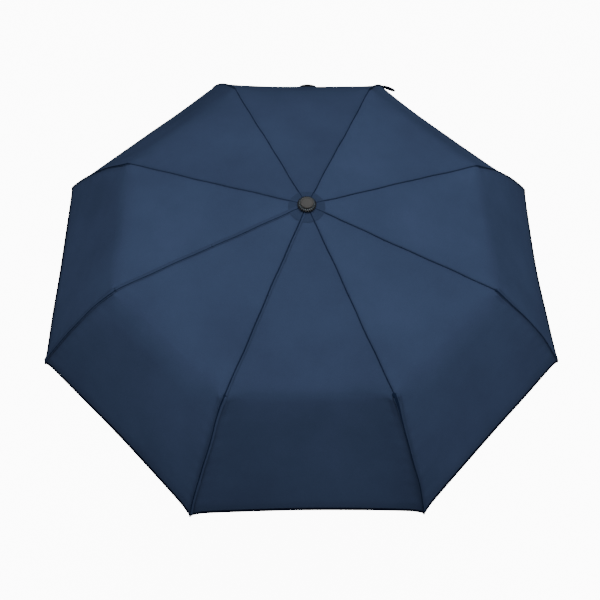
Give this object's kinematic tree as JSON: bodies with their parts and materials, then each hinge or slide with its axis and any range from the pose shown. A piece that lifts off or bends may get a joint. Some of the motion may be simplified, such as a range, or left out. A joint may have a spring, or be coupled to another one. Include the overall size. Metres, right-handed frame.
{
  "type": "folding umbrella",
  "caption": "Compact folding umbrella, open: octagonal canopy on three-link folding ribs, a telescoping tube, a sliding runner and a short grip with a push button.",
  "frame": {"origin": "middle of the grip's plain cylindrical stretch, on the tube's axis", "axes": "+Z along the tube from the grip to the cap, +Y towards the panel with the closure strap, -Y towards the push button"},
  "size_m": [0.891, 0.9013, 0.5944],
  "materials": {
    "grip": "fine-grained black plastic",
    "end_cap": "fine-grained black plastic",
    "button": "smooth dark grey plastic",
    "button_spring": "spring wire",
    "tube_black": "black enamel on steel",
    "tube_steel": "bright plated steel",
    "hub": "black moulded plastic",
    "cap_top": "grey-brown moulded plastic",
    "cloth": "navy woven polyester, water-repellent",
    "strap": "black woven tape",
    "rib_steel": "folded galvanised steel channel",
    "rib_fibre": "dark grey glass fibre"
  },
  "bodies": {
    "handle": {"grip": "grip", "end_cap": "end_cap", "lower_tube": "tube_steel", "button_spring": "button_spring"},
    "button": {"button": "button"},
    "middle_tube": {"middle_tube": "tube_steel"},
    "upper_tube": {"upper_tube": "tube_black", "notch": "hub", "top_patch": "cloth", "cap_ring": "hub", "cap_disc": "cap_top", "canopy_crown": "cloth"},
    "upper_rib_1": {"upper_rib_1": "rib_steel"},
    "stretcher_1": {"stretcher_1": "rib_steel"},
    "middle_rib_1": {"middle_rib_1": "rib_steel"},
    "outer_rib_1": {"outer_rib_1": "rib_fibre", "canopy_skirt_1": "cloth"},
    "upper_rib_2": {"upper_rib_2": "rib_steel"},
    "stretcher_2": {"stretcher_2": "rib_steel"},
    "middle_rib_2": {"middle_rib_2": "rib_steel"},
    "outer_rib_2": {"outer_rib_2": "rib_fibre", "canopy_skirt_2": "cloth"},
    "upper_rib_3": {"upper_rib_3": "rib_steel"},
    "stretcher_3": {"stretcher_3": "rib_steel"},
    "middle_rib_3": {"middle_rib_3": "rib_steel"},
    "outer_rib_3": {"outer_rib_3": "rib_fibre", "canopy_skirt_3": "cloth"},
    "upper_rib_4": {"upper_rib_4": "rib_steel"},
    "stretcher_4": {"stretcher_4": "rib_steel"},
    "middle_rib_4": {"middle_rib_4": "rib_steel"},
    "outer_rib_4": {"outer_rib_4": "rib_fibre", "canopy_skirt_4": "cloth", "closure_strap": "strap"},
    "upper_rib_5": {"upper_rib_5": "rib_steel"},
    "stretcher_5": {"stretcher_5": "rib_steel"},
    "middle_rib_5": {"middle_rib_5": "rib_steel"},
    "outer_rib_5": {"outer_rib_5": "rib_fibre", "canopy_skirt_5": "cloth"},
    "upper_rib_6": {"upper_rib_6": "rib_steel"},
    "stretcher_6": {"stretcher_6": "rib_steel"},
    "middle_rib_6": {"middle_rib_6": "rib_steel"},
    "outer_rib_6": {"outer_rib_6": "rib_fibre", "canopy_skirt_6": "cloth"},
    "upper_rib_7": {"upper_rib_7": "rib_steel"},
    "stretcher_7": {"stretcher_7": "rib_steel"},
    "middle_rib_7": {"middle_rib_7": "rib_steel"},
    "outer_rib_7": {"outer_rib_7": "rib_fibre", "canopy_skirt_7": "cloth"},
    "upper_rib_8": {"upper_rib_8": "rib_steel"},
    "stretcher_8": {"stretcher_8": "rib_steel"},
    "middle_rib_8": {"middle_rib_8": "rib_steel"},
    "outer_rib_8": {"outer_rib_8": "rib_fibre", "canopy_skirt_8": "cloth"},
    "runner": {"runner": "hub"}
  },
  "joints": [
    {"name": "button_press", "type": "slide", "parent": "handle", "child": "button", "axis": [0, 1, 0], "range_m": [0, 0.002], "stiffness_N_per_m": 400, "springref_m": -0.0005, "deforming": ["button_spring"]},
    {"name": "lower_stage", "type": "slide", "parent": "handle", "child": "middle_tube", "axis": [0, 0, -1], "range_m": [0, 0.15]},
    {"name": "upper_stage", "type": "slide", "parent": "middle_tube", "child": "upper_tube", "axis": [0, 0, -1], "range_m": [0, 0.148]},
    {"name": "canopy_fold", "type": "hinge", "parent": "upper_tube", "child": "upper_rib_1", "pos_m": [0.00344, -0.00831, 0.54057], "axis": [0.9239, 0.3827, 0], "range_deg": [0, 77], "deforming": ["canopy_crown", "top_patch", "closure_strap", "canopy_skirt_1", "canopy_skirt_2", "canopy_skirt_3", "canopy_skirt_4", "canopy_skirt_5", "canopy_skirt_6", "canopy_skirt_7", "canopy_skirt_8"]},
    {"name": "stretcher_1_hinge", "type": "hinge", "parent": "upper_rib_1", "child": "stretcher_1", "pos_m": [0.0365, -0.08812, 0.52363], "axis": [0.9239, 0.3827, 0], "range_deg": [-154, 0]},
    {"name": "middle_rib_1_hinge", "type": "hinge", "parent": "upper_rib_1", "child": "middle_rib_1", "pos_m": [0.06323, -0.15266, 0.51683], "axis": [0.9239, 0.3827, 0], "range_deg": [-175.3, 0]},
    {"name": "outer_rib_1_hinge", "type": "hinge", "parent": "middle_rib_1", "child": "outer_rib_1", "pos_m": [0.12674, -0.30597, 0.48492], "axis": [0.9239, 0.3827, 0], "range_deg": [0, 142.2]},
    {"name": "upper_rib_2_hinge", "type": "hinge", "parent": "upper_tube", "child": "upper_rib_2", "pos_m": [0.00831, -0.00344, 0.54057], "axis": [0.3827, 0.9239, 0], "range_deg": [0, 77]},
    {"name": "stretcher_2_hinge", "type": "hinge", "parent": "upper_rib_2", "child": "stretcher_2", "pos_m": [0.08812, -0.0365, 0.52363], "axis": [0.3827, 0.9239, 0], "range_deg": [-154, 0]},
    {"name": "middle_rib_2_hinge", "type": "hinge", "parent": "upper_rib_2", "child": "middle_rib_2", "pos_m": [0.15266, -0.06323, 0.51683], "axis": [0.3827, 0.9239, 0], "range_deg": [-175.3, 0]},
    {"name": "outer_rib_2_hinge", "type": "hinge", "parent": "middle_rib_2", "child": "outer_rib_2", "pos_m": [0.30597, -0.12674, 0.48492], "axis": [0.3827, 0.9239, 0], "range_deg": [0, 142.2]},
    {"name": "upper_rib_3_hinge", "type": "hinge", "parent": "upper_tube", "child": "upper_rib_3", "pos_m": [0.00831, 0.00344, 0.54057], "axis": [-0.3827, 0.9239, 0], "range_deg": [0, 77]},
    {"name": "stretcher_3_hinge", "type": "hinge", "parent": "upper_rib_3", "child": "stretcher_3", "pos_m": [0.08812, 0.0365, 0.52363], "axis": [-0.3827, 0.9239, 0], "range_deg": [-154, 0]},
    {"name": "middle_rib_3_hinge", "type": "hinge", "parent": "upper_rib_3", "child": "middle_rib_3", "pos_m": [0.15266, 0.06323, 0.51683], "axis": [-0.3827, 0.9239, 0], "range_deg": [-175.3, 0]},
    {"name": "outer_rib_3_hinge", "type": "hinge", "parent": "middle_rib_3", "child": "outer_rib_3", "pos_m": [0.30597, 0.12674, 0.48492], "axis": [-0.3827, 0.9239, 0], "range_deg": [0, 142.2]},
    {"name": "upper_rib_4_hinge", "type": "hinge", "parent": "upper_tube", "child": "upper_rib_4", "pos_m": [0.00344, 0.00831, 0.54057], "axis": [-0.9239, 0.3827, 0], "range_deg": [0, 77]},
    {"name": "stretcher_4_hinge", "type": "hinge", "parent": "upper_rib_4", "child": "stretcher_4", "pos_m": [0.0365, 0.08812, 0.52363], "axis": [-0.9239, 0.3827, 0], "range_deg": [-154, 0]},
    {"name": "middle_rib_4_hinge", "type": "hinge", "parent": "upper_rib_4", "child": "middle_rib_4", "pos_m": [0.06323, 0.15266, 0.51683], "axis": [-0.9239, 0.3827, 0], "range_deg": [-175.3, 0]},
    {"name": "outer_rib_4_hinge", "type": "hinge", "parent": "middle_rib_4", "child": "outer_rib_4", "pos_m": [0.12674, 0.30597, 0.48492], "axis": [-0.9239, 0.3827, 0], "range_deg": [0, 142.2]},
    {"name": "upper_rib_5_hinge", "type": "hinge", "parent": "upper_tube", "child": "upper_rib_5", "pos_m": [-0.00344, 0.00831, 0.54057], "axis": [-0.9239, -0.3827, 0], "range_deg": [0, 77]},
    {"name": "stretcher_5_hinge", "type": "hinge", "parent": "upper_rib_5", "child": "stretcher_5", "pos_m": [-0.0365, 0.08812, 0.52363], "axis": [-0.9239, -0.3827, 0], "range_deg": [-154, 0]},
    {"name": "middle_rib_5_hinge", "type": "hinge", "parent": "upper_rib_5", "child": "middle_rib_5", "pos_m": [-0.06323, 0.15266, 0.51683], "axis": [-0.9239, -0.3827, 0], "range_deg": [-175.3, 0]},
    {"name": "outer_rib_5_hinge", "type": "hinge", "parent": "middle_rib_5", "child": "outer_rib_5", "pos_m": [-0.12674, 0.30597, 0.48492], "axis": [-0.9239, -0.3827, 0], "range_deg": [0, 142.2]},
    {"name": "upper_rib_6_hinge", "type": "hinge", "parent": "upper_tube", "child": "upper_rib_6", "pos_m": [-0.00831, 0.00344, 0.54057], "axis": [-0.3827, -0.9239, 0], "range_deg": [0, 77]},
    {"name": "stretcher_6_hinge", "type": "hinge", "parent": "upper_rib_6", "child": "stretcher_6", "pos_m": [-0.08812, 0.0365, 0.52363], "axis": [-0.3827, -0.9239, 0], "range_deg": [-154, 0]},
    {"name": "middle_rib_6_hinge", "type": "hinge", "parent": "upper_rib_6", "child": "middle_rib_6", "pos_m": [-0.15266, 0.06323, 0.51683], "axis": [-0.3827, -0.9239, 0], "range_deg": [-175.3, 0]},
    {"name": "outer_rib_6_hinge", "type": "hinge", "parent": "middle_rib_6", "child": "outer_rib_6", "pos_m": [-0.30597, 0.12674, 0.48492], "axis": [-0.3827, -0.9239, 0], "range_deg": [0, 142.2]},
    {"name": "upper_rib_7_hinge", "type": "hinge", "parent": "upper_tube", "child": "upper_rib_7", "pos_m": [-0.00831, -0.00344, 0.54057], "axis": [0.3827, -0.9239, 0], "range_deg": [0, 77]},
    {"name": "stretcher_7_hinge", "type": "hinge", "parent": "upper_rib_7", "child": "stretcher_7", "pos_m": [-0.08812, -0.0365, 0.52363], "axis": [0.3827, -0.9239, 0], "range_deg": [-154, 0]},
    {"name": "middle_rib_7_hinge", "type": "hinge", "parent": "upper_rib_7", "child": "middle_rib_7", "pos_m": [-0.15266, -0.06323, 0.51683], "axis": [0.3827, -0.9239, 0], "range_deg": [-175.3, 0]},
    {"name": "outer_rib_7_hinge", "type": "hinge", "parent": "middle_rib_7", "child": "outer_rib_7", "pos_m": [-0.30597, -0.12674, 0.48492], "axis": [0.3827, -0.9239, 0], "range_deg": [0, 142.2]},
    {"name": "upper_rib_8_hinge", "type": "hinge", "parent": "upper_tube", "child": "upper_rib_8", "pos_m": [-0.00344, -0.00831, 0.54057], "axis": [0.9239, -0.3827, 0], "range_deg": [0, 77]},
    {"name": "stretcher_8_hinge", "type": "hinge", "parent": "upper_rib_8", "child": "stretcher_8", "pos_m": [-0.0365, -0.08812, 0.52363], "axis": [0.9239, -0.3827, 0], "range_deg": [-154, 0]},
    {"name": "middle_rib_8_hinge", "type": "hinge", "parent": "upper_rib_8", "child": "middle_rib_8", "pos_m": [-0.06323, -0.15266, 0.51683], "axis": [0.9239, -0.3827, 0], "range_deg": [-175.3, 0]},
    {"name": "outer_rib_8_hinge", "type": "hinge", "parent": "middle_rib_8", "child": "outer_rib_8", "pos_m": [-0.12674, -0.30597, 0.48492], "axis": [0.9239, -0.3827, 0], "range_deg": [0, 142.2]},
    {"name": "runner_hinge", "type": "hinge", "parent": "stretcher_1", "child": "runner", "pos_m": [0.00344, -0.00831, 0.50668], "axis": [0.9239, 0.3827, 0], "range_deg": [0, 77]}
  ],
  "couplings": [
    {"joint": "stretcher_1_hinge", "follows": "canopy_fold", "ratio": -2},
    {"joint": "middle_rib_1_hinge", "follows": "canopy_fold", "ratio": -2.2766},
    {"joint": "outer_rib_1_hinge", "follows": "canopy_fold", "ratio": 1.8468},
    {"joint": "upper_rib_2_hinge", "follows": "canopy_fold", "ratio": 1},
    {"joint": "stretcher_2_hinge", "follows": "canopy_fold", "ratio": -2},
    {"joint": "middle_rib_2_hinge", "follows": "canopy_fold", "ratio": -2.2766},
    {"joint": "outer_rib_2_hinge", "follows": "canopy_fold", "ratio": 1.8468},
    {"joint": "upper_rib_3_hinge", "follows": "canopy_fold", "ratio": 1},
    {"joint": "stretcher_3_hinge", "follows": "canopy_fold", "ratio": -2},
    {"joint": "middle_rib_3_hinge", "follows": "canopy_fold", "ratio": -2.2766},
    {"joint": "outer_rib_3_hinge", "follows": "canopy_fold", "ratio": 1.8468},
    {"joint": "upper_rib_4_hinge", "follows": "canopy_fold", "ratio": 1},
    {"joint": "stretcher_4_hinge", "follows": "canopy_fold", "ratio": -2},
    {"joint": "middle_rib_4_hinge", "follows": "canopy_fold", "ratio": -2.2766},
    {"joint": "outer_rib_4_hinge", "follows": "canopy_fold", "ratio": 1.8468},
    {"joint": "upper_rib_5_hinge", "follows": "canopy_fold", "ratio": 1},
    {"joint": "stretcher_5_hinge", "follows": "canopy_fold", "ratio": -2},
    {"joint": "middle_rib_5_hinge", "follows": "canopy_fold", "ratio": -2.2766},
    {"joint": "outer_rib_5_hinge", "follows": "canopy_fold", "ratio": 1.8468},
    {"joint": "upper_rib_6_hinge", "follows": "canopy_fold", "ratio": 1},
    {"joint": "stretcher_6_hinge", "follows": "canopy_fold", "ratio": -2},
    {"joint": "middle_rib_6_hinge", "follows": "canopy_fold", "ratio": -2.2766},
    {"joint": "outer_rib_6_hinge", "follows": "canopy_fold", "ratio": 1.8468},
    {"joint": "upper_rib_7_hinge", "follows": "canopy_fold", "ratio": 1},
    {"joint": "stretcher_7_hinge", "follows": "canopy_fold", "ratio": -2},
    {"joint": "middle_rib_7_hinge", "follows": "canopy_fold", "ratio": -2.2766},
    {"joint": "outer_rib_7_hinge", "follows": "canopy_fold", "ratio": 1.8468},
    {"joint": "upper_rib_8_hinge", "follows": "canopy_fold", "ratio": 1},
    {"joint": "stretcher_8_hinge", "follows": "canopy_fold", "ratio": -2},
    {"joint": "middle_rib_8_hinge", "follows": "canopy_fold", "ratio": -2.2766},
    {"joint": "outer_rib_8_hinge", "follows": "canopy_fold", "ratio": 1.8468},
    {"joint": "runner_hinge", "follows": "canopy_fold", "ratio": 1}
  ]
}
